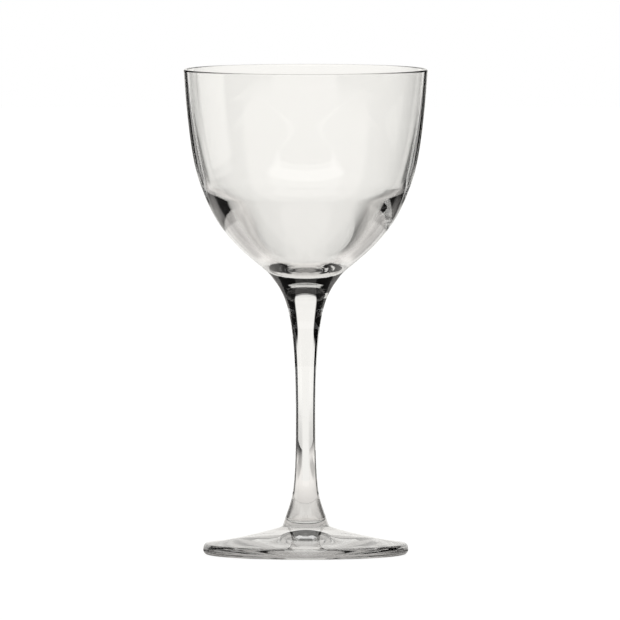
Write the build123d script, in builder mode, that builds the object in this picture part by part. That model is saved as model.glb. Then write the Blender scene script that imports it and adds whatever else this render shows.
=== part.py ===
from build123d import *
import os
from math import cos, radians, sin

# Nick and nora glass: a blown bowl, a drawn stem and a pressed foot, fused hot along one axis.
# Millimetres, +Z up, standing on Z = 0 with the glass's axis on Z.
# A lean is in degrees from upright and a slope in degrees from level.
# A pull is the share of a curve's height over which that end keeps its direction.

# Heights of the three pieces, each standing on the one below
foot_height = 9.6
stem_length = 74.0
bowl_height = 62.4

# Foot: a shallow cone with a rounded edge, resting on a flat ring round a hollow underside
# The edge turns in two quarter rounds that meet at its belly, where the foot is widest
foot_diameter = 61.7
edge_height = 3.2
edge_belly_height = 1.45
edge_bulge = 0.95
edge_round = 1.1
edge_slope = 5.8
edge_pull = 1.66
quarter_pull = 0.55
rest_ring_bore = 52.0
hollow_height = 2.2
hollow_rim_share = 0.54
hollow_crown_share = 0.15

# Collar: the foot's short neck, which the stem is fused to
collar_diameter = 13.15
collar_lean = 17.3
collar_drop = 0.77
root_radius = 1.0
root_slope = 27.4
root_pull = 0.235

# Stem: slender at its waist, flaring down to the collar and up to the bowl
waist_diameter = 5.92
waist_height = 30.4
waist_pull_down = 0.79
waist_pull_up = 0.785
collar_pull = 0.25
neck_pull = 0.163

# Bowl, outside: the neck that meets the stem, the shoulder where the belly turns up, the rim
neck_diameter = 20.66
neck_lean = 37.0
belly_neck_pull = 0.21
belly_shoulder_pull = 0.70
shoulder_height = 26.4
shoulder_diameter = 62.56
shoulder_lean = 19.6
side_shoulder_pull = 0.17
side_rim_pull = 0.70
rim_diameter = 73.5
rim_lean = 4.1

# Bowl, inside: thin at the rim, thicker at the shoulder, thickest in the floor
rim_wall = 1.05
shoulder_wall = 3.53
inner_shoulder_drop = 2.26
floor_thickness = 2.2
inner_shoulder_lean = 35.1
inner_rim_pull = 0.55
inner_shoulder_pull_up = 0.158
inner_shoulder_pull_down = 0.255
floor_pull = 0.455

# Levels and radii that the pieces share
collar_level = foot_height
neck_level = collar_level + stem_length
rim_level = neck_level + bowl_height
collar_radius = collar_diameter / 2
neck_radius = neck_diameter / 2


def rising(lean):
    """Direction up a wall that leans out from the axis."""
    return Vector(sin(radians(lean)), cos(radians(lean)))


def falling(slope):
    """Direction outwards and down a surface at a slope from level."""
    return Vector(cos(radians(slope)), -sin(radians(slope)))


def curve(start, leaving, start_reach, end, arriving, end_reach):
    """Control points of a smooth curve that leaves and arrives along two directions."""
    return start, start + leaving * start_reach, end - arriving * end_reach, end


# Foot
foot_radius = foot_diameter / 2
edge_radius = foot_radius - edge_bulge
ring_radius = rest_ring_bore / 2
collar_top = Vector(collar_radius, collar_level)
collar_foot = collar_top - rising(-collar_lean) * collar_drop
root_turn = 90 - collar_lean - root_slope
edge_top = Vector(edge_radius, edge_height)
edge_belly = Vector(foot_radius, edge_belly_height)
edge_foot = Vector(foot_radius - edge_round, 0)
down = Vector(0, -1)
inwards = Vector(-1, 0)
crown = Vector(0, hollow_height)
ring_edge = Vector(ring_radius, 0)

with BuildPart() as foot:
    with BuildSketch(Plane.XZ):
        with BuildLine():
            Line((0, collar_level), collar_top)
            Line(collar_top, collar_foot)
            root = JernArc(collar_foot, -rising(-collar_lean), root_radius, root_turn)
            root_end = root @ 1
            cone_height = root_end.Y - edge_height
            Bezier(*curve(root_end, falling(root_slope), root_pull * cone_height,
                          edge_top, falling(edge_slope), edge_pull * cone_height))
            Bezier(*curve(edge_top, falling(edge_slope), quarter_pull * edge_bulge,
                          edge_belly, down, quarter_pull * (edge_height - edge_belly_height)))
            Bezier(*curve(edge_belly, down, quarter_pull * edge_belly_height,
                          edge_foot, inwards, quarter_pull * edge_round))
            Line(edge_foot, ring_edge)
            Bezier(*curve(ring_edge, inwards, hollow_rim_share * ring_radius,
                          crown, inwards, hollow_crown_share * ring_radius))
            Line(crown, (0, collar_level))
        make_face()
    revolve(axis=Axis.Z)

# Stem
waist = Vector(waist_diameter / 2, collar_level + waist_height)
upright = Vector(0, 1)
neck_edge = Vector(neck_radius, neck_level)
flare_height = neck_level - waist.Y

with BuildPart() as stem:
    with BuildSketch(Plane.XZ):
        with BuildLine():
            Line((0, collar_level), collar_top)
            Bezier(*curve(collar_top, rising(-collar_lean), collar_pull * waist_height,
                          waist, upright, waist_pull_down * waist_height))
            Bezier(*curve(waist, upright, waist_pull_up * flare_height,
                          neck_edge, rising(neck_lean), neck_pull * flare_height))
            Line(neck_edge, (0, neck_level))
            Line((0, neck_level), (0, collar_level))
        make_face()
    revolve(axis=Axis.Z)

# Bowl
lip_radius = rim_wall / 2
shoulder = Vector(shoulder_diameter / 2, neck_level + shoulder_height)
rim_edge = Vector(rim_diameter / 2, rim_level - lip_radius * (1 + sin(radians(rim_lean))))
side_height = rim_edge.Y - shoulder.Y
inner_shoulder = shoulder - Vector(shoulder_wall, inner_shoulder_drop)
inner_floor = Vector(0, neck_level + floor_thickness)
cup_depth = inner_shoulder.Y - inner_floor.Y

with BuildPart() as bowl:
    with BuildSketch(Plane.XZ):
        with BuildLine():
            Line((0, neck_level), neck_edge)
            Bezier(*curve(neck_edge, rising(neck_lean), belly_neck_pull * shoulder_height,
                          shoulder, rising(shoulder_lean), belly_shoulder_pull * shoulder_height))
            Bezier(*curve(shoulder, rising(shoulder_lean), side_shoulder_pull * side_height,
                          rim_edge, rising(rim_lean), side_rim_pull * side_height))
            lip = JernArc(rim_edge, rising(rim_lean), lip_radius, 180)
            lip_end = lip @ 1
            Bezier(*curve(lip_end, -rising(rim_lean), inner_rim_pull * side_height,
                          inner_shoulder, -rising(inner_shoulder_lean), inner_shoulder_pull_up * side_height))
            Bezier(*curve(inner_shoulder, -rising(inner_shoulder_lean), inner_shoulder_pull_down * cup_depth,
                          inner_floor, inwards, floor_pull * inner_shoulder.X))
            Line(inner_floor, (0, neck_level))
        make_face()
    revolve(axis=Axis.Z)

# One STEP for each piece
os.makedirs("parts", exist_ok=True)
foot.part.label = "foot"
stem.part.label = "stem"
bowl.part.label = "bowl"
export_step(foot.part, "parts/foot.step")
export_step(stem.part, "parts/stem.step")
export_step(bowl.part, "parts/bowl.step")
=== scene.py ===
"""Looks of a nick and nora glass: a blown bowl, a drawn stem and a pressed foot, fused hot on one axis."""
import logging
import math
from collections.abc import Callable
from dataclasses import dataclass, field
from enum import Enum

import bpy
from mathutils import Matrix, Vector


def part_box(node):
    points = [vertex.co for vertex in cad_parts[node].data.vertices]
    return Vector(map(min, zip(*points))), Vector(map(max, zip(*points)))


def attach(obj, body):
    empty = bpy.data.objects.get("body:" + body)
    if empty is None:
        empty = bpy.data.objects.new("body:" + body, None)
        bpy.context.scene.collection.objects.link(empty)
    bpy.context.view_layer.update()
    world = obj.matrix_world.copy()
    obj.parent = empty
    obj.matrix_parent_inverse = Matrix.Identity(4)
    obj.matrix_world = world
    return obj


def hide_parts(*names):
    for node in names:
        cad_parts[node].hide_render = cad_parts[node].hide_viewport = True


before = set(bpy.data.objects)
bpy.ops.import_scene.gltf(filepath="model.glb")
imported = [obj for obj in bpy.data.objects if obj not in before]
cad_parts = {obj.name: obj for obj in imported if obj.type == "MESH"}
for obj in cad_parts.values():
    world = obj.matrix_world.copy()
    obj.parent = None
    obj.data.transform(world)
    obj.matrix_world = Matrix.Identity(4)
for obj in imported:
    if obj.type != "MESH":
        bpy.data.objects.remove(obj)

# Lengths are in metres; a lean is in degrees out from upright and a slope in degrees down from level
MM = 0.001
BODY = "root"
PHOTO_PIXELS = 620

# The two welds: the foot's collar meets the stem, and the stem meets the bowl's neck
COLLAR_RADIUS = 6.575 * MM
COLLAR_LEAN = 17.3
NECK_RADIUS = 10.33 * MM
NECK_LEAN = 37.0
WELD_GAP = 0.004 * MM
WELD_MATCH = WELD_GAP / 4

# Directions in a half section, as radius and height
UPRIGHT = Vector((0.0, 1.0))
OUTWARDS = Vector((1.0, 0.0))
INWARDS = Vector((-1.0, 0.0))

# What the studio's cards share
WHITE = (1.0, 1.0, 1.0)
LAMP_COLOUR = (1.0, 0.987, 0.957)
LAMP_LIGHT = 1.055
CARD_FOOT = -20 * MM

log = logging.getLogger("glass")
Colour = tuple[float, float, float]
Span = tuple[float, float]
Corners = list[tuple[float, float, float]]
Socket = bpy.types.NodeSocket
Sockets = bpy.types.bpy_prop_collection
Feed = Socket | float | int | bool | tuple | bpy.types.Material
Recipe = Callable[["Graph", Sockets], Socket]


def rising(lean: float) -> Vector:
    """Gives the direction up a wall.

    Args:
        lean: Degrees that the wall leans out from upright.

    Returns:
        A unit step as radius and height.
    """
    return Vector((math.sin(math.radians(lean)), math.cos(math.radians(lean))))


def falling(slope: float) -> Vector:
    """Gives the direction outwards and down a surface.

    Args:
        slope: Degrees that the surface falls from level.

    Returns:
        A unit step as radius and height.
    """
    return Vector((math.cos(math.radians(slope)), -math.sin(math.radians(slope))))


class Graph:
    """A node tree that is filled node by node."""

    def __init__(self, tree: bpy.types.NodeTree) -> None:
        """Keeps the tree to fill.

        Args:
            tree: A geometry or shader node tree.
        """
        self.tree = tree

    def add(self, kind: str, feeds: dict[str | int, Feed] | None = None,
            **settings: object) -> bpy.types.Node:
        """Adds one node, sets its options and feeds its inputs.

        Args:
            kind: Blender's name for the node type.
            feeds: Values or output sockets by the input's name or number.
            **settings: Options of the node, such as its operation.

        Returns:
            The new node.
        """
        node = self.tree.nodes.new(kind)
        for option, value in settings.items():
            setattr(node, option, value)
        for key, value in (feeds or {}).items():
            if isinstance(value, Socket):
                self.tree.links.new(value, node.inputs[key])
            else:
                node.inputs[key].default_value = value
        return node

    def math(self, operation: str, *values: Feed) -> Socket:
        """Adds a Math node.

        Args:
            operation: The sum to do.
            *values: Its numbers or sockets, in order.

        Returns:
            The result's socket.
        """
        return self.add("ShaderNodeMath", dict(enumerate(values)), operation=operation).outputs[0]

    def ramp(self, value: Socket, low: Feed, high: Feed, at_low: Feed, at_high: Feed) -> Socket:
        """Adds a Map Range node that eases between two values.

        Args:
            value: What is measured.
            low: Where the ramp starts.
            high: Where the ramp ends.
            at_low: The result up to its start.
            at_high: The result past its end.

        Returns:
            The result's socket.
        """
        feeds = {"Value": value, "From Min": low, "From Max": high, "To Min": at_low, "To Max": at_high}
        return self.add("ShaderNodeMapRange", feeds, interpolation_type="SMOOTHSTEP").outputs[0]

    def window(self, value: Socket, span: Span, soft: float) -> Socket:
        """Gives 1 between two limits and 0 outside them, eased over a soft edge.

        Args:
            value: What is measured.
            span: The limits.
            soft: Width of the edge.

        Returns:
            The result's socket.
        """
        low, high = span
        edge = soft / 2
        start = self.ramp(value, low - edge, low + edge, 0.0, 1.0)
        end = self.ramp(value, high - edge, high + edge, 1.0, 0.0)
        return self.math("MULTIPLY", start, end)

    def length(self, across: Socket, along: Socket) -> Socket:
        """Gives the length of a step from its two parts."""
        squares = (self.math("MULTIPLY", across, across), self.math("MULTIPLY", along, along))
        return self.math("SQRT", self.math("ADD", *squares))

    def parts(self, place: Socket) -> Sockets:
        """Splits a place into sockets for its X, Y and Z."""
        return self.add("ShaderNodeSeparateXYZ", {0: place}).outputs


@dataclass
class Knot:
    """A point of an outline and the ends of its two handles; a missing handle makes that side straight."""

    point: Vector
    before: Vector | None = None
    after: Vector | None = None


@dataclass
class Outline:
    """Half the section of a turned piece, from the axis round the outside and back to the axis."""

    start: Vector
    knots: list[Knot] = field(default_factory=list)

    def __post_init__(self) -> None:
        """Puts the first knot at the start."""
        self.knots.append(Knot(self.start))

    @property
    def end(self) -> Vector:
        """The point reached so far."""
        return self.knots[-1].point

    def line(self, point: Vector) -> None:
        """Adds a straight line.

        Args:
            point: Its far end.
        """
        self.knots.append(Knot(point))

    def curve(self, leaving: Vector, start_reach: float,
              point: Vector, arriving: Vector, end_reach: float) -> None:
        """Adds a smooth curve that leaves and arrives along two directions.

        Args:
            leaving: Direction at its start.
            start_reach: Length of the handle there.
            point: Its far end.
            arriving: Direction at the far end.
            end_reach: Length of the handle there.
        """
        self.knots[-1].after = self.end + leaving * start_reach
        self.knots.append(Knot(point, before=point - arriving * end_reach))

    def arc(self, heading: Vector, radius: float, turn: float) -> None:
        """Adds an arc that turns left, in quarter turns or less.

        Args:
            heading: Direction at its start.
            radius: Its radius.
            turn: Degrees that it turns through.
        """
        steps = math.ceil(turn / 90)
        angle = math.radians(turn / steps)
        reach = 4 / 3 * math.tan(angle / 4) * radius
        for _ in range(steps):
            left = Vector((-heading.y, heading.x))
            turned = heading * math.cos(angle) + left * math.sin(angle)
            far = self.end + left * radius - Vector((-turned.y, turned.x)) * radius
            self.curve(heading, reach, far, turned, reach)
            heading = turned

    def back_along(self, other: "Outline") -> None:
        """Follows another outline from its end, which this one has reached, back to its start.

        Args:
            other: The outline to follow.
        """
        for knot, passed in zip(reversed(other.knots[:-1]), reversed(other.knots[1:])):
            self.knots[-1].after = passed.before
            self.knots.append(Knot(knot.point, before=knot.after))

    def draw(self, name: str, steps: int) -> bpy.types.Object:
        """Draws the outline as a curve, radius along X and height down Y, which the turning tree sweeps.

        Args:
            name: Name of the curve.
            steps: Points on each smooth stretch.

        Returns:
            The curve's object.
        """
        data = bpy.data.curves.new(name, "CURVE")
        data.dimensions = "3D"
        spline = data.splines.new("BEZIER")
        spline.resolution_u = steps
        spline.bezier_points.add(len(self.knots) - 1)
        for drawn, knot in zip(spline.bezier_points, self.knots):
            drawn.co = (knot.point.x, -knot.point.y, 0.0)
            for side, handle in (("left", knot.before), ("right", knot.after)):
                setattr(drawn, f"handle_{side}_type", "VECTOR" if handle is None else "FREE")
                if handle is not None:
                    setattr(drawn, f"handle_{side}", (handle.x, -handle.y, 0.0))
        curve = bpy.data.objects.new(name, data)
        bpy.context.scene.collection.objects.link(curve)
        return curve


class Finish(Enum):
    """How each stretch of the glass was worked."""

    BLOWN = "blown_glass"
    DRAWN = "drawn_glass"
    PRESSED = "pressed_glass"


@dataclass(frozen=True)
class GlassFinish:
    """Clear glass with the faint marks that its making and its use left in it."""

    finish: Finish
    clear: Colour = (0.995, 0.994, 0.99)
    shade: Colour = (0.985, 0.986, 0.98)
    melt_scale: float = 22.0
    ripple_scale: float = 90.0
    ripple_stretch: float = 1.0
    ripple_depth: float = 0.004
    wear_level: float = 0.4 * MM
    wear_rough: float = 0.06
    ior: float = 1.52
    melt_colour: Colour = (0.0, 0.0, 0.0)
    melt_density: float = 10.0

    def make(self, groups: "SurfaceGroups", welds: tuple[float, ...]) -> bpy.types.Material:
        """Builds the material.

        Args:
            groups: The shared effects.
            welds: Heights of the faces that are melted into the next piece.

        Returns:
            The finished material.
        """
        material = bpy.data.materials.new(self.finish.value)
        material.use_nodes = True
        graph = Graph(material.node_tree)
        place = graph.add("ShaderNodeTexCoord").outputs["Object"]
        bend = self.bend(graph, place, welds)
        melt = graph.add("ShaderNodeGroup", {
            "Place": place, "Scale": self.melt_scale,
            "Clear": (*self.clear, 1.0), "Shade": (*self.shade, 1.0)}, node_tree=groups.melt)
        wear = graph.add("ShaderNodeGroup", {
            "Place": place, "Level": self.wear_level, "Worn": self.wear_rough}, node_tree=groups.wear)
        ripple = graph.add("ShaderNodeGroup", {
            "Place": place, "Scale": self.ripple_scale,
            "Stretch": self.ripple_stretch}, node_tree=groups.ripple)
        bump = graph.add("ShaderNodeBump", {
            "Strength": self.ripple_depth, "Distance": MM, "Height": ripple.outputs["Height"]})
        body = graph.add("ShaderNodeVolumeAbsorption", {
            "Color": (*self.melt_colour, 1.0), "Density": self.melt_density})
        nodes, links = material.node_tree.nodes, material.node_tree.links
        shader = nodes["Principled BSDF"].inputs
        shader["Transmission Weight"].default_value = 1.0
        links.new(bend, shader["IOR"])
        links.new(melt.outputs["Color"], shader["Base Color"])
        links.new(wear.outputs["Roughness"], shader["Roughness"])
        links.new(bump.outputs["Normal"], shader["Normal"])
        links.new(body.outputs[0], nodes["Material Output"].inputs["Volume"])
        return material

    def bend(self, graph: Graph, place: Socket, welds: tuple[float, ...]) -> Socket:
        """Gives the index at which the glass bends light, which is 1 at a weld.

        Args:
            graph: The material's graph.
            place: The surface's coordinates.
            welds: Heights of the faces that are melted into the next piece.

        Returns:
            The index's socket.
        """
        height = graph.parts(place)["Z"]
        melted = 0.0
        for weld in welds:
            melted = graph.math("MAXIMUM", graph.math("COMPARE", height, weld, WELD_MATCH), melted)
        return graph.math("MULTIPLY_ADD", melted, 1.0 - self.ior, self.ior)


class SurfaceGroups:
    """Shader node groups for what the three glass finishes share."""

    SCUFF_SCALE = 700.0
    SCUFF_DETAIL = 4.0
    SCUFF_SPAN = (0.45, 0.7)
    SCUFF_LEAST = 0.2

    # Numbers of a Mix node's sockets for colours
    MIX_SHARE = 0
    MIX_FIRST = 6
    MIX_SECOND = 7
    MIX_RESULT = 2

    def __init__(self) -> None:
        """Builds the three groups."""
        self.melt = self.build_melt()
        self.wear = self.build_wear()
        self.ripple = self.build_ripple()

    @staticmethod
    def begin(name: str, inputs: dict[str, str], output: tuple[str, str]) -> tuple[Graph, Sockets]:
        """Starts a group with its sockets.

        Args:
            name: The group's name.
            inputs: Socket types of its inputs by name, after Place.
            output: Name and socket type of its output.

        Returns:
            Its graph and the sockets of its inputs.
        """
        tree = bpy.data.node_groups.new(name, "ShaderNodeTree")
        tree.interface.new_socket(name="Place", in_out="INPUT", socket_type="NodeSocketVector")
        for socket, kind in inputs.items():
            tree.interface.new_socket(name=socket, in_out="INPUT", socket_type=kind)
        tree.interface.new_socket(name=output[0], in_out="OUTPUT", socket_type=output[1])
        graph = Graph(tree)
        return graph, graph.add("NodeGroupInput").outputs

    def build_melt(self) -> bpy.types.NodeTree:
        """Builds the slow change of tint in the melt.

        Returns:
            The group.
        """
        inputs = {"Scale": "NodeSocketFloat", "Clear": "NodeSocketColor", "Shade": "NodeSocketColor"}
        graph, given = self.begin("melt_tint", inputs, ("Color", "NodeSocketColor"))
        cloud = graph.add("ShaderNodeTexNoise", {"Vector": given["Place"], "Scale": given["Scale"]})
        mix = graph.add("ShaderNodeMix", {
            self.MIX_SHARE: cloud.outputs["Fac"],
            self.MIX_FIRST: given["Clear"],
            self.MIX_SECOND: given["Shade"]}, data_type="RGBA")
        graph.add("NodeGroupOutput", {0: mix.outputs[self.MIX_RESULT]})
        return graph.tree

    def build_wear(self) -> bpy.types.NodeTree:
        """Builds the fine scuffs on the ring that the glass stands on.

        Returns:
            The group.
        """
        inputs = {"Level": "NodeSocketFloat", "Worn": "NodeSocketFloat"}
        graph, given = self.begin("standing_wear", inputs, ("Roughness", "NodeSocketFloat"))
        low = graph.ramp(graph.parts(given["Place"])["Z"], 0.0, given["Level"], 1.0, 0.0)
        scuffs = graph.add("ShaderNodeTexNoise", {
            "Vector": given["Place"], "Scale": self.SCUFF_SCALE, "Detail": self.SCUFF_DETAIL})
        mask = graph.ramp(scuffs.outputs["Fac"], *self.SCUFF_SPAN, self.SCUFF_LEAST, 1.0)
        rough = graph.math("MULTIPLY", graph.math("MULTIPLY", low, mask), given["Worn"])
        graph.add("NodeGroupOutput", {0: rough})
        return graph.tree

    def build_ripple(self) -> bpy.types.NodeTree:
        """Builds the faint ripple that hot working leaves in a surface.

        Returns:
            The group.
        """
        inputs = {"Scale": "NodeSocketFloat", "Stretch": "NodeSocketFloat"}
        graph, given = self.begin("worked_ripple", inputs, ("Height", "NodeSocketFloat"))
        parts = graph.parts(given["Place"])
        tall = graph.math("DIVIDE", parts["Z"], given["Stretch"])
        place = graph.add("ShaderNodeCombineXYZ", {0: parts["X"], 1: parts["Y"], 2: tall})
        noise = graph.add("ShaderNodeTexNoise", {
            "Vector": place.outputs[0], "Scale": given["Scale"], "Detail": 1.0})
        graph.add("NodeGroupOutput", {0: noise.outputs["Fac"]})
        return graph.tree


class TurningTree:
    """Geometry nodes that turn an outline about the upright axis into a closed piece of glass."""

    # The outline is swept round a ring of this radius, moved in by as much so that it turns about the axis
    HUB = 0.1
    MERGE_GAP = 1e-6
    NOISE_MIDDLE = 0.5
    INPUTS = {
        "Segments": "NodeSocketInt",
        "Waver": "NodeSocketFloat",
        "Waver Scale": "NodeSocketFloat",
        "Seed": "NodeSocketFloat",
        "Lower Weld": "NodeSocketFloat",
        "Upper Weld": "NodeSocketFloat",
        "Weld Ease": "NodeSocketFloat",
        "Sharp Angle": "NodeSocketFloat",
        "Glass": "NodeSocketMaterial",
    }

    def __init__(self) -> None:
        """Builds the tree."""
        self.tree = bpy.data.node_groups.new("turned_glass", "GeometryNodeTree")
        face = self.tree.interface
        face.new_socket(name="Outline", in_out="INPUT", socket_type="NodeSocketGeometry")
        self.keys = {
            name: face.new_socket(name=name, in_out="INPUT", socket_type=kind).identifier
            for name, kind in self.INPUTS.items()}
        face.new_socket(name="Piece", in_out="OUTPUT", socket_type="NodeSocketGeometry")
        self.fill()

    def fill(self) -> None:
        """Lays the nodes."""
        graph = Graph(self.tree)
        given = graph.add("NodeGroupInput").outputs
        ring = graph.add("GeometryNodeCurvePrimitiveCircle", {
            "Resolution": given["Segments"], "Radius": self.HUB})
        shifted = graph.add("GeometryNodeSetPosition", {
            "Geometry": given["Outline"], "Offset": (-self.HUB, 0.0, 0.0)})
        swept = graph.add("GeometryNodeCurveToMesh", {
            "Curve": ring.outputs["Curve"], "Profile Curve": shifted.outputs[0]})
        closed = graph.add("GeometryNodeMergeByDistance", {
            "Geometry": swept.outputs[0], "Distance": self.MERGE_GAP})
        outwards = graph.add("GeometryNodeFlipFaces", {0: closed.outputs[0]})
        wavered = self.waver(graph, given, outwards.outputs[0])
        angle = graph.add("GeometryNodeInputMeshEdgeAngle").outputs["Unsigned Angle"]
        sharp = graph.math("GREATER_THAN", angle, given["Sharp Angle"])
        smooth = graph.add("GeometryNodeSetShadeSmooth", {"Geometry": wavered}, domain="FACE")
        creased = graph.add("GeometryNodeSetShadeSmooth", {
            "Geometry": smooth.outputs[0], "Selection": sharp, "Shade Smooth": False}, domain="EDGE")
        real = graph.add("GeometryNodeRealizeInstances", {0: creased.outputs[0]})
        glass = graph.add("GeometryNodeSetMaterial", {
            "Geometry": real.outputs[0], "Material": given["Glass"]})
        graph.add("NodeGroupOutput", {0: glass.outputs[0]})

    def waver(self, graph: Graph, given: Sockets, piece: Socket) -> Socket:
        """Moves the wall in and out by a hair, but not at a weld.

        Args:
            graph: The tree's graph.
            given: Its input sockets.
            piece: The turned mesh.

        Returns:
            The moved mesh.
        """
        place = graph.add("GeometryNodeInputPosition").outputs[0]
        height = graph.parts(place)["Z"]
        noise = graph.add("ShaderNodeTexNoise", {
            "Vector": place, "W": given["Seed"],
            "Scale": given["Waver Scale"], "Detail": 1.0}, noise_dimensions="4D")
        swing = graph.math("SUBTRACT", noise.outputs["Fac"], self.NOISE_MIDDLE)
        for weld in ("Lower Weld", "Upper Weld"):
            gap = graph.math("ABSOLUTE", graph.math("SUBTRACT", height, given[weld]))
            swing = graph.math("MULTIPLY", swing, graph.ramp(gap, 0.0, given["Weld Ease"], 0.0, 1.0))
        reach = graph.math("MULTIPLY", swing, given["Waver"])
        level = graph.add("ShaderNodeVectorMath", {0: place, 1: (1.0, 1.0, 0.0)}, operation="MULTIPLY")
        outwards = graph.add("ShaderNodeVectorMath", {0: level.outputs[0]}, operation="NORMALIZE")
        offset = graph.add("ShaderNodeVectorMath", {
            0: outwards.outputs[0], "Scale": reach}, operation="SCALE")
        moved = graph.add("GeometryNodeSetPosition", {"Geometry": piece, "Offset": offset.outputs[0]})
        return moved.outputs[0]

    def turn(self, outline: bpy.types.Object, name: str, values: dict[str, Feed]) -> bpy.types.Object:
        """Turns one outline into a plain mesh.

        Args:
            outline: The drawn outline.
            name: Name of the piece.
            values: The tree's inputs by name.

        Returns:
            The piece, at the origin.
        """
        modifier = outline.modifiers.new("turning", "NODES")
        modifier.node_group = self.tree
        for key, value in values.items():
            modifier[self.keys[key]] = value
        graph = bpy.context.evaluated_depsgraph_get()
        graph.update()
        mesh = bpy.data.meshes.new_from_object(outline.evaluated_get(graph))
        mesh.name = name
        piece = bpy.data.objects.new(name, mesh)
        bpy.context.scene.collection.objects.link(piece)
        drawn = outline.data
        bpy.data.objects.remove(outline)
        bpy.data.curves.remove(drawn)
        return piece


@dataclass
class Workshop:
    """What the three pieces share: the turning tree, the surface effects and the welds between them."""

    segments: int = 256
    steps: int = 40
    seed: float = 7.0
    weld_ease: float = 4 * MM
    sharp_angle: float = 0.6
    tree: TurningTree = field(default_factory=TurningTree)
    groups: SurfaceGroups = field(default_factory=SurfaceGroups)

    def __post_init__(self) -> None:
        """Reads the weld levels from the frame."""
        self.collar_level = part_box("foot")[1].z
        self.neck_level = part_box("bowl")[0].z
        self.welds = (
            self.collar_level, self.collar_level + WELD_GAP,
            self.neck_level - WELD_GAP, self.neck_level)

    def make(self, outline: Outline, name: str, finish: GlassFinish,
             waver: float, waver_scale: float) -> bpy.types.Object:
        """Turns and dresses one piece.

        Args:
            outline: Its half section.
            name: Its name.
            finish: Its glass.
            waver: How far its wall wavers.
            waver_scale: How closely.

        Returns:
            The finished piece.
        """
        return self.tree.turn(outline.draw(f"{name}_outline", self.steps), name, {
            "Segments": self.segments,
            "Waver": waver,
            "Waver Scale": waver_scale,
            "Seed": self.seed,
            "Lower Weld": self.collar_level,
            "Upper Weld": self.neck_level,
            "Weld Ease": self.weld_ease,
            "Sharp Angle": self.sharp_angle,
            "Glass": finish.make(self.groups, self.welds),
        })


@dataclass
class Foot:
    """The pressed foot: a shallow cone with a rounded edge, hollow below, and a collar for the stem."""

    collar_drop: float = 0.77 * MM
    root_radius: float = 1.0 * MM
    root_slope: float = 27.4
    root_pull: float = 0.235
    edge_height: float = 3.2 * MM
    edge_belly_height: float = 1.45 * MM
    edge_bulge: float = 0.95 * MM
    edge_round: float = 1.1 * MM
    edge_slope: float = 5.8
    edge_pull: float = 1.66
    quarter_pull: float = 0.55
    ring_radius: float = 26.0 * MM
    hollow_height: float = 2.2 * MM
    hollow_rim_share: float = 0.54
    hollow_crown_share: float = 0.15
    waver: float = 0.03 * MM
    waver_scale: float = 120.0

    def outline(self) -> Outline:
        """Draws the half section, from the hollow's crown out to the edge and up to the weld.

        Returns:
            The half section.
        """
        low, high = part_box("foot")
        radius, top = high.x, high.z
        collar = Vector((COLLAR_RADIUS, top))
        wall = rising(-COLLAR_LEAN)
        quarter = self.quarter_pull
        section = Outline(Vector((0.0, self.hollow_height)))
        section.curve(OUTWARDS, self.hollow_crown_share * self.ring_radius,
                      Vector((self.ring_radius, low.z)),
                      OUTWARDS, self.hollow_rim_share * self.ring_radius)
        section.line(Vector((radius - self.edge_round, low.z)))
        section.curve(OUTWARDS, quarter * self.edge_round,
                      Vector((radius, self.edge_belly_height)),
                      UPRIGHT, quarter * self.edge_belly_height)
        section.curve(UPRIGHT, quarter * (self.edge_height - self.edge_belly_height),
                      Vector((radius - self.edge_bulge, self.edge_height)),
                      -falling(self.edge_slope), quarter * self.edge_bulge)
        root = Outline(collar - wall * self.collar_drop)
        root.arc(-wall, self.root_radius, 90 - COLLAR_LEAN - self.root_slope)
        cone = root.end.y - self.edge_height
        section.curve(-falling(self.edge_slope), self.edge_pull * cone,
                      root.end,
                      -falling(self.root_slope), self.root_pull * cone)
        section.back_along(root)
        section.line(collar)
        section.line(Vector((0.0, top)))
        return section

    def build(self, shop: Workshop) -> bpy.types.Object:
        """Makes the piece.

        Args:
            shop: The shared workshop.

        Returns:
            The foot.
        """
        finish = GlassFinish(Finish.PRESSED, ripple_scale=140.0, ripple_depth=0.002)
        return shop.make(self.outline(), "pressed_foot", finish, self.waver, self.waver_scale)


@dataclass
class Stem:
    """The drawn stem: slender at its waist, flaring down to the collar and up to the bowl."""

    collar_reach: float = 7.6 * MM
    waist_radius: float = 2.96 * MM
    waist_level: float = 40.0 * MM
    waist_reach_down: float = 24.016 * MM
    waist_reach_up: float = 34.226 * MM
    neck_reach: float = 7.107 * MM
    waver: float = 0.01 * MM
    waver_scale: float = 60.0

    def outline(self) -> Outline:
        """Draws the half section, from the lower weld up to the bowl.

        Returns:
            The half section.
        """
        low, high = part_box("stem")
        foot, head = low.z + WELD_GAP, high.z - WELD_GAP
        section = Outline(Vector((0.0, foot)))
        section.line(Vector((COLLAR_RADIUS, foot)))
        section.curve(rising(-COLLAR_LEAN), self.collar_reach,
                      Vector((self.waist_radius, self.waist_level)),
                      UPRIGHT, self.waist_reach_down)
        section.curve(UPRIGHT, self.waist_reach_up,
                      Vector((NECK_RADIUS, head)),
                      rising(NECK_LEAN), self.neck_reach)
        section.line(Vector((0.0, head)))
        return section

    def build(self, shop: Workshop) -> bpy.types.Object:
        """Makes the piece.

        Args:
            shop: The shared workshop.

        Returns:
            The stem.
        """
        finish = GlassFinish(Finish.DRAWN, ripple_scale=300.0, ripple_stretch=16.0, ripple_depth=0.0006)
        return shop.make(self.outline(), "drawn_stem", finish, self.waver, self.waver_scale)


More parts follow.
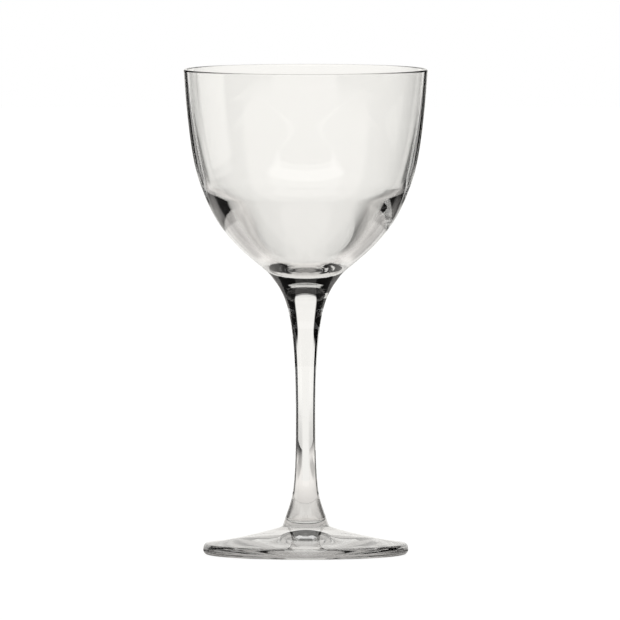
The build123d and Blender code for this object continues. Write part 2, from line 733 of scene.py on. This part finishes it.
@dataclass
class Bowl:
    """The blown bowl: a fire-polished rim, a thin side, a thicker shoulder and a floor over the weld."""

    belly_neck_reach: float = 5.544 * MM
    belly_shoulder_reach: float = 18.48 * MM
    shoulder_radius: float = 31.28 * MM
    shoulder_level: float = 110.0 * MM
    shoulder_lean: float = 19.6
    side_shoulder_reach: float = 6.024 * MM
    side_rim_reach: float = 24.806 * MM
    rim_lean: float = 4.1
    rim_wall: float = 1.05 * MM
    inner_rim_reach: float = 19.491 * MM
    inner_shoulder_radius: float = 27.75 * MM
    inner_shoulder_level: float = 107.74 * MM
    inner_shoulder_lean: float = 35.1
    inner_reach_up: float = 5.599 * MM
    inner_reach_down: float = 5.59 * MM
    floor_level: float = 85.8 * MM
    floor_reach: float = 12.63 * MM
    waver: float = 0.012 * MM
    waver_scale: float = 35.0

    def outline(self) -> Outline:
        """Draws the half section, from the weld up the outside, over the lip and down the inside.

        Returns:
            The half section.
        """
        low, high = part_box("bowl")
        lip = self.rim_wall / 2
        rim = Vector((high.x, high.z - lip * (1 + math.sin(math.radians(self.rim_lean)))))
        section = Outline(Vector((0.0, low.z)))
        section.line(Vector((NECK_RADIUS, low.z)))
        section.curve(rising(NECK_LEAN), self.belly_neck_reach,
                      Vector((self.shoulder_radius, self.shoulder_level)),
                      rising(self.shoulder_lean), self.belly_shoulder_reach)
        section.curve(rising(self.shoulder_lean), self.side_shoulder_reach,
                      rim,
                      rising(self.rim_lean), self.side_rim_reach)
        section.arc(rising(self.rim_lean), lip, 180)
        section.curve(-rising(self.rim_lean), self.inner_rim_reach,
                      Vector((self.inner_shoulder_radius, self.inner_shoulder_level)),
                      -rising(self.inner_shoulder_lean), self.inner_reach_up)
        section.curve(-rising(self.inner_shoulder_lean), self.inner_reach_down,
                      Vector((0.0, self.floor_level)),
                      INWARDS, self.floor_reach)
        return section

    def build(self, shop: Workshop) -> bpy.types.Object:
        """Makes the piece.

        Args:
            shop: The shared workshop.

        Returns:
            The bowl.
        """
        finish = GlassFinish(Finish.BLOWN, ripple_scale=60.0, ripple_depth=0.001)
        return shop.make(self.outline(), "blown_bowl", finish, self.waver, self.waver_scale)


def standing(start: Span, end: Span, low: float, top: float) -> Corners:
    """Gives the corners of an upright card.

    Args:
        start: X and Y of its start.
        end: X and Y of its end.
        low: Height of its lower edge.
        top: Height of its upper edge.

    Returns:
        The four corners in order.
    """
    return [(*start, low), (*end, low), (*end, top), (*start, top)]


def lying(near: Span, far: Span, height: float) -> Corners:
    """Gives the corners of a level card.

    Args:
        near: X and Y of its near left corner.
        far: X and Y of its far right corner.
        height: Its height.

    Returns:
        The four corners in order.
    """
    return [(*near, height), (far[0], near[1], height), (*far, height), (near[0], far[1], height)]


def put_up(name: str, corners: Corners, material: bpy.types.Material) -> bpy.types.Object:
    """Puts a flat card on the stage.

    Args:
        name: Its name.
        corners: Its four corners.
        material: What it is made of.

    Returns:
        The card.
    """
    mesh = bpy.data.meshes.new(name)
    mesh.from_pydata(corners, [], [(0, 1, 2, 3)])
    mesh.materials.append(material)
    card = bpy.data.objects.new(name, mesh)
    bpy.context.scene.collection.objects.link(card)
    return card


def hang(name: str, corners: Corners, colour: Colour = WHITE,
         glow: Recipe | None = None, gap: Recipe | None = None) -> None:
    """Hangs a lit or black card that only shows in and through the glass.

    Args:
        name: Its name.
        corners: Its four corners.
        colour: Its colour.
        glow: Gives its strength from the graph and the card's coordinates, where it isn't black.
        gap: Gives in the same way how open it is.
    """
    material = bpy.data.materials.new(name)
    material.use_nodes = True
    material.node_tree.nodes.clear()
    graph = Graph(material.node_tree)
    parts = graph.parts(graph.add("ShaderNodeTexCoord").outputs["Object"])
    strength = glow(graph, parts) if glow else 0.0
    light = graph.add("ShaderNodeEmission", {"Color": (*colour, 1.0), "Strength": strength})
    if gap is not None:
        clear = graph.add("ShaderNodeBsdfTransparent")
        light = graph.add("ShaderNodeMixShader", {
            0: gap(graph, parts), 1: light.outputs[0], 2: clear.outputs[0]})
    graph.add("ShaderNodeOutputMaterial", {"Surface": light.outputs[0]})
    card = put_up(name, corners, material)
    card.visible_camera = False
    card.visible_diffuse = False
    card.visible_shadow = False


@dataclass
class Flags:
    """Black flags round the glass for its dark edges, open low in front and in a slot above the front."""

    distance: float = 0.6
    front: float = -1.0
    height: float = 0.6
    slot_start: float = -0.45
    front_span: Span = (0.2, 0.73)

    def place(self) -> None:
        """Hangs the five flags."""
        out, front, top = self.distance, self.front, self.height
        hang("left_flag", standing((-out, front), (-out, out), CARD_FOOT, top))
        hang("right_flag", standing((out, front), (out, out), CARD_FOOT, top))
        hang("back_flag", standing((-out, out), (out, out), CARD_FOOT, top))
        hang("top_flag", lying((-out, self.slot_start), (out, out), top))
        hang("front_flag", standing((-out, front), (out, front), *self.front_span))


@dataclass
class LightPanel:
    """The lit panel close behind the glass: wider at its foot, narrower behind the bowl."""

    distance: float = 0.1415
    half_width: float = 0.087
    soft: float = 0.012
    flare: float = 0.018
    flare_level: float = 0.06
    taper: float = 0.024
    taper_level: Span = (0.065, 0.085)
    top: float = 0.2
    top_soft: float = 0.012
    light: float = LAMP_LIGHT
    low_light: float = 0.95
    full_level: float = 0.11
    gap_start: Span = (0.026, 0.046)
    gap_level: Span = (0.06, 0.09)
    strip_level: Span = (0.068, 0.08)

    def place(self) -> None:
        """Hangs the panel."""
        wide = self.half_width + self.flare + self.soft / 2
        corners = standing((-wide, self.distance), (wide, self.distance),
                           CARD_FOOT, self.top + self.top_soft)
        hang("light_panel", corners, LAMP_COLOUR, self.glow, self.gap)

    def glow(self, graph: Graph, parts: Sockets) -> Socket:
        """Lights the panel, a little less low down, and not past its sides and top.

        Args:
            graph: The card's graph.
            parts: Sockets of the card's coordinates by axis.

        Returns:
            The strength's socket.
        """
        top = graph.ramp(parts["Z"], self.top - self.top_soft, self.top + self.top_soft, 1.0, 0.0)
        light = graph.ramp(parts["Z"], 0.0, self.full_level, self.low_light, self.light)
        return graph.math("MULTIPLY", graph.math("MULTIPLY", self.sides(graph, parts), top), light)

    def sides(self, graph: Graph, parts: Sockets) -> Socket:
        """Keeps to the panel's width at each height.

        Args:
            graph: The card's graph.
            parts: Sockets of the card's coordinates by axis.

        Returns:
            A socket that is 1 on the panel and 0 past its sides.
        """
        flare = graph.ramp(parts["Z"], 0.0, self.flare_level, self.flare, 0.0)
        taper = graph.ramp(parts["Z"], *self.taper_level, 0.0, self.taper)
        across = graph.math("ABSOLUTE", parts["X"])
        across = graph.math("ADD", graph.math("SUBTRACT", across, flare), taper)
        edge = self.soft / 2
        return graph.ramp(across, self.half_width - edge, self.half_width + edge, 1.0, 0.0)

    def gap(self, graph: Graph, parts: Sockets) -> Socket:
        """Opens the card low down, beside its middle and past its sides, to the table and the far panel.

        Args:
            graph: The card's graph.
            parts: Sockets of the card's coordinates by axis.

        Returns:
            The socket of how open it is.
        """
        sides = self.sides(graph, parts)
        inner = graph.ramp(graph.math("ABSOLUTE", parts["X"]), *self.gap_start, 0.0, 1.0)
        low = graph.ramp(parts["Z"], *self.gap_level, 1.0, 0.0)
        window = graph.math("MULTIPLY", graph.math("MULTIPLY", inner, low), sides)
        under = graph.ramp(parts["Z"], *self.strip_level, 1.0, 0.0)
        strip = graph.math("MULTIPLY", under, graph.math("SUBTRACT", 1.0, sides))
        return graph.math("ADD", window, strip)


@dataclass
class FarPanel:
    """The wide, low panel that stands on the table further back."""

    distance: float = 0.38
    half_width: float = 0.3
    height: float = 0.15
    light: float = LAMP_LIGHT
    low_light: float = 0.75
    full_level: float = 0.04

    def place(self) -> None:
        """Hangs the panel."""
        side, back = self.half_width, self.distance
        corners = standing((-side, back), (side, back), 0.0, self.height)
        hang("far_panel", corners, LAMP_COLOUR, self.glow)

    def glow(self, graph: Graph, parts: Sockets) -> Socket:
        """Lights the panel, less where it meets the table."""
        return graph.ramp(parts["Z"], 0.0, self.full_level, self.low_light, self.light)


@dataclass
class SideCard:
    """The lit card that stands on the table to the left of the glass."""

    distance: float = 0.3
    span: Span = (-0.05, 0.18)
    soft: float = 0.04
    height: float = 0.136
    light: float = 0.95

    def place(self) -> None:
        """Hangs the card."""
        left = -self.distance
        front, back = self.span
        corners = standing((left, front), (left, back), 0.0, self.height)
        hang("side_card", corners, LAMP_COLOUR, self.glow)

    def glow(self, graph: Graph, parts: Sockets) -> Socket:
        """Lights the card evenly, with soft ends."""
        return graph.math("MULTIPLY", graph.window(parts["Y"], self.span, self.soft), self.light)


@dataclass(frozen=True)
class Shade:
    """A soft dark patch on the table, between limits in two measures."""

    depth: float
    across: Span
    across_soft: float
    along: Span
    along_soft: float

    def cast(self, graph: Graph, light: Socket, across: Socket, along: Socket) -> Socket:
        """Takes the patch out of the table's light.

        Args:
            graph: The card's graph.
            light: The strength without the patch.
            across: The first measure.
            along: The second measure.

        Returns:
            The strength with the patch.
        """
        patch = graph.math("MULTIPLY", graph.window(across, self.across, self.across_soft),
                           graph.window(along, self.along, self.along_soft))
        return graph.math("MULTIPLY", light, graph.math("MULTIPLY_ADD", patch, -self.depth, 1.0))


@dataclass
class LightTable:
    """The lit table under the glass; a turn is in degrees round the glass from straight behind it."""

    half_size: float = 1.0
    level: float = -0.4 * MM
    colour: Colour = (1.0, 0.968, 0.932)
    near_light: float = 0.76
    far_light: float = 1.0
    light_span: Span = (0.005, 0.13)
    reach: Span = (0.31, 0.68)
    reach_turn: Span = (95.0, 110.0)
    reach_soft: float = 0.12
    front_reach: float = 0.33
    front_turn: Span = (146.0, 158.0)
    left_reach: float = 0.1
    left_soft: float = 0.02
    foot_shade: Shade = Shade(0.65, (88.0, 124.0), 22.0, (0.014, 0.032), 0.01)
    side_shade: Shade = Shade(0.88, (50.0, 116.0), 8.0, (0.034, 0.6), 0.008)
    back_shade: Shade = Shade(0.42, (0.07, 0.16), 0.03, (0.11, 0.28), 0.1)

    def place(self) -> None:
        """Lays the table."""
        half = self.half_size
        hang("light_table", lying((-half, -half), (half, half), self.level), self.colour, self.glow)

    def glow(self, graph: Graph, parts: Sockets) -> Socket:
        """Lights the table out to its reach, but for the three shades at each side of the glass.

        Args:
            graph: The card's graph.
            parts: Sockets of the card's coordinates by axis.

        Returns:
            The strength's socket.
        """
        off = graph.length(parts["X"], parts["Y"])
        turn = graph.math("ABSOLUTE", graph.math("ARCTAN2", parts["X"], parts["Y"]))
        turn = graph.math("MULTIPLY", turn, math.degrees(1.0))
        light = graph.ramp(parts["Y"], *self.light_span, self.near_light, self.far_light)
        past = graph.math("SUBTRACT", off, self.edge(graph, turn, parts["X"]))
        lit = graph.ramp(past, -self.reach_soft, self.reach_soft, 1.0, 0.0)
        light = graph.math("MULTIPLY", light, lit)
        light = self.foot_shade.cast(graph, light, turn, off)
        light = self.side_shade.cast(graph, light, turn, off)
        return self.back_shade.cast(graph, light, graph.math("ABSOLUTE", parts["X"]), parts["Y"])

    def edge(self, graph: Graph, turn: Socket, across: Socket) -> Socket:
        """Gives how far the light reaches, which is further in front and on the left.

        Args:
            graph: The card's graph.
            turn: Degrees round the glass from straight behind it.
            across: The card's X.

        Returns:
            The reach's socket.
        """
        side = graph.ramp(turn, *self.reach_turn, *self.reach)
        front = graph.ramp(turn, *self.front_turn, 0.0, self.front_reach)
        left = graph.ramp(across, -self.left_soft, self.left_soft, self.left_reach, 0.0)
        return graph.math("ADD", graph.math("ADD", side, front), left)


@dataclass
class Studio:
    """A white floor and a white ground, and the cards that only show in and through the glass."""

    floor_half_size: float = 3.0
    floor_level: float = -0.2 * MM
    floor_glow: float = 0.93
    floor_colour: float = 0.12
    bounces: int = 32

    def light(self) -> None:
        """Sets the ground, the floor, the black flags, the lit cards and the lit table."""
        self.ground()
        self.floor()
        for card in (Flags(), LightPanel(), FarPanel(), SideCard(), LightTable()):
            card.place()
        scene = bpy.context.scene
        scene.view_settings.view_transform = "Standard"
        scene.cycles.max_bounces = self.bounces
        scene.cycles.transmission_bounces = self.bounces
        scene.cycles.glossy_bounces = self.bounces

    def ground(self) -> None:
        """Makes the ground white to the camera, to plain surfaces and in the glass."""
        world = bpy.data.worlds.new("studio_ground")
        bpy.context.scene.world = world
        world.use_nodes = True
        world.node_tree.nodes.clear()
        graph = Graph(world.node_tree)
        path = graph.add("ShaderNodeLightPath").outputs
        plain = graph.math("MAXIMUM", path["Is Camera Ray"], path["Is Diffuse Ray"])
        glassy = graph.math("MAXIMUM", path["Is Glossy Ray"], path["Is Transmission Ray"])
        glow = graph.add("ShaderNodeBackground", {
            "Color": (*WHITE, 1.0), "Strength": graph.math("MAXIMUM", plain, glassy)})
        graph.add("ShaderNodeOutputWorld", {"Surface": glow.outputs[0]})

    def floor(self) -> None:
        """Lays the white floor, which keeps a faint shadow of the glass."""
        material = bpy.data.materials.new("floor_paper")
        material.use_nodes = True
        shader = material.node_tree.nodes["Principled BSDF"].inputs
        shader["Base Color"].default_value = (self.floor_colour,) * 3 + (1.0,)
        shader["Roughness"].default_value = 1.0
        shader["Specular IOR Level"].default_value = 0.0
        shader["Emission Color"].default_value = (*WHITE, 1.0)
        shader["Emission Strength"].default_value = self.floor_glow
        half = self.floor_half_size
        floor = put_up("studio_floor", lying((-half, -half), (half, half), self.floor_level), material)
        floor.visible_transmission = False
        floor.visible_glossy = False


@dataclass
class ViewPoint:
    """The camera of the photograph: far off, a little above the glass, square on to it."""

    distance: float = 8.0
    elevation: float = 3.0
    metres_per_pixel: float = 0.3008 * MM
    axis_column: float = 305.7
    ground_row: float = 553.9
    sensor: float = 36.0
    clip_end: float = 100.0

    def place(self) -> None:
        """Makes the camera and points it."""
        data = bpy.data.cameras.new("camera")
        camera = bpy.data.objects.new("camera", data)
        bpy.context.scene.collection.objects.link(camera)
        tilt = math.radians(self.elevation)
        middle = PHOTO_PIXELS / 2
        target = Vector((
            (middle - self.axis_column) * self.metres_per_pixel, 0.0,
            (self.ground_row - middle) * self.metres_per_pixel / math.cos(tilt)))
        camera.location = target + Vector((0.0, -math.cos(tilt), math.sin(tilt))) * self.distance
        camera.rotation_euler = (math.pi / 2 - tilt, 0.0, 0.0)
        data.sensor_width = self.sensor
        data.lens = self.sensor * self.distance / (PHOTO_PIXELS * self.metres_per_pixel)
        data.clip_end = self.clip_end
        bpy.context.scene.camera = camera


def main() -> None:
    """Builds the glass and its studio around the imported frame."""
    logging.basicConfig(level=logging.INFO, format="%(name)s: %(message)s")
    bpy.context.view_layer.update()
    ViewPoint().place()
    Studio().light()
    shop = Workshop()
    for part, node in ((Foot(), "foot"), (Stem(), "stem"), (Bowl(), "bowl")):
        piece = part.build(shop)
        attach(piece, BODY)
        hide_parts(node)
        log.info("%s stands for %s with %d faces", piece.name, node, len(piece.data.polygons))


if __name__ == "__main__":
    main()
